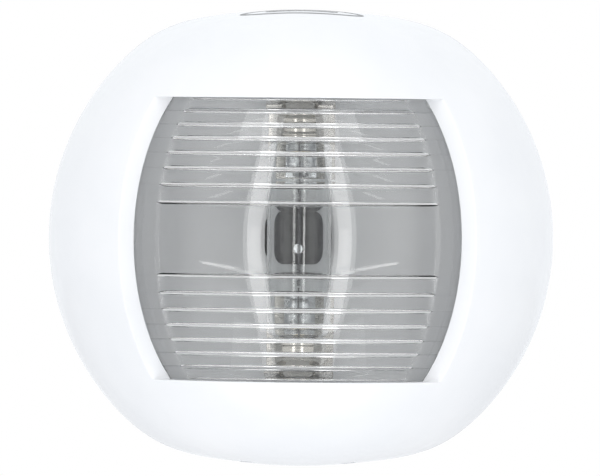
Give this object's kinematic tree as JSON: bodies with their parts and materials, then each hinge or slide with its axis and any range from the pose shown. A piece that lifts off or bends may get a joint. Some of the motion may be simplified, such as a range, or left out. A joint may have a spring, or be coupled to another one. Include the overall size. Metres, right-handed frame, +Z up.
{
  "type": "navigation light",
  "caption": "Surface-mounted 135 degree stern navigation light: white clip-on cover, clear prismatic drum lens and a festoon lamp on a base plate.",
  "frame": {"origin": "middle of the back face that lies on the bulkhead", "axes": "+X to the right as seen from the front, +Y back into the bulkhead, +Z up; the light shines towards -Y"},
  "size_m": [0.0852, 0.0373, 0.0768],
  "materials": {
    "housing_plastic": "moulded white ABS, glossy",
    "base_plastic": "moulded white ABS, satin",
    "lens_clear": "clear polycarbonate, polished, prisms inside",
    "bulb_glass": "clear blown glass tube",
    "bulb_cap_metal": "nickel-plated brass",
    "contact_metal": "nickel-plated spring brass, lightly tarnished",
    "rivet_brass": "turned brass",
    "terminal_steel": "zinc-plated steel",
    "filament_wire": "dark tungsten and lead wire",
    "solder": "dull tin solder",
    "grommet_rubber": "moulded black rubber",
    "seal_rubber": "black foam rubber"
  },
  "bodies": {
    "base": {"rear_base": "base_plastic", "rear_gasket": "seal_rubber", "cable_grommet": "grommet_rubber", "cover_seal": "seal_rubber", "contact_foot_upper": "contact_metal", "contact_foot_lower": "contact_metal", "contact_rivet_upper": "rivet_brass", "contact_rivet_lower": "rivet_brass", "terminal_clamp_upper": "terminal_steel", "terminal_clamp_lower": "terminal_steel", "terminal_screw_upper": "terminal_steel", "terminal_screw_lower": "terminal_steel"},
    "cover": {"front_housing": "housing_plastic", "lens": "lens_clear"},
    "lamp": {"bulb_glass": "bulb_glass", "bulb_filament": "filament_wire", "bulb_cap_upper": "bulb_cap_metal", "bulb_cap_lower": "bulb_cap_metal", "bulb_tip_upper": "solder", "bulb_tip_lower": "solder", "bulb_lead_upper": "filament_wire", "bulb_lead_lower": "filament_wire"},
    "blade_upper": {"contact_blade_upper": "contact_metal"},
    "blade_lower": {"contact_blade_lower": "contact_metal"}
  },
  "joints": [
    {"name": "cover_pull", "type": "slide", "parent": "base", "child": "cover", "axis": [0, -1, 0], "range_m": [0, 0.06]},
    {"name": "lamp_pull", "type": "slide", "parent": "base", "child": "lamp", "axis": [0, -1, 0], "range_m": [0, 0.01]},
    {"name": "blade_upper_flex", "type": "hinge", "parent": "base", "child": "blade_upper", "pos_m": [0, -0.00455, 0.0201], "axis": [1, 0, 0], "range_deg": [-6, 0], "stiffness_Nm_per_rad": 0.01},
    {"name": "blade_lower_flex", "type": "hinge", "parent": "base", "child": "blade_lower", "pos_m": [0, -0.00455, -0.0201], "axis": [1, 0, 0], "range_deg": [0, 6], "stiffness_Nm_per_rad": 0.01}
  ]
}
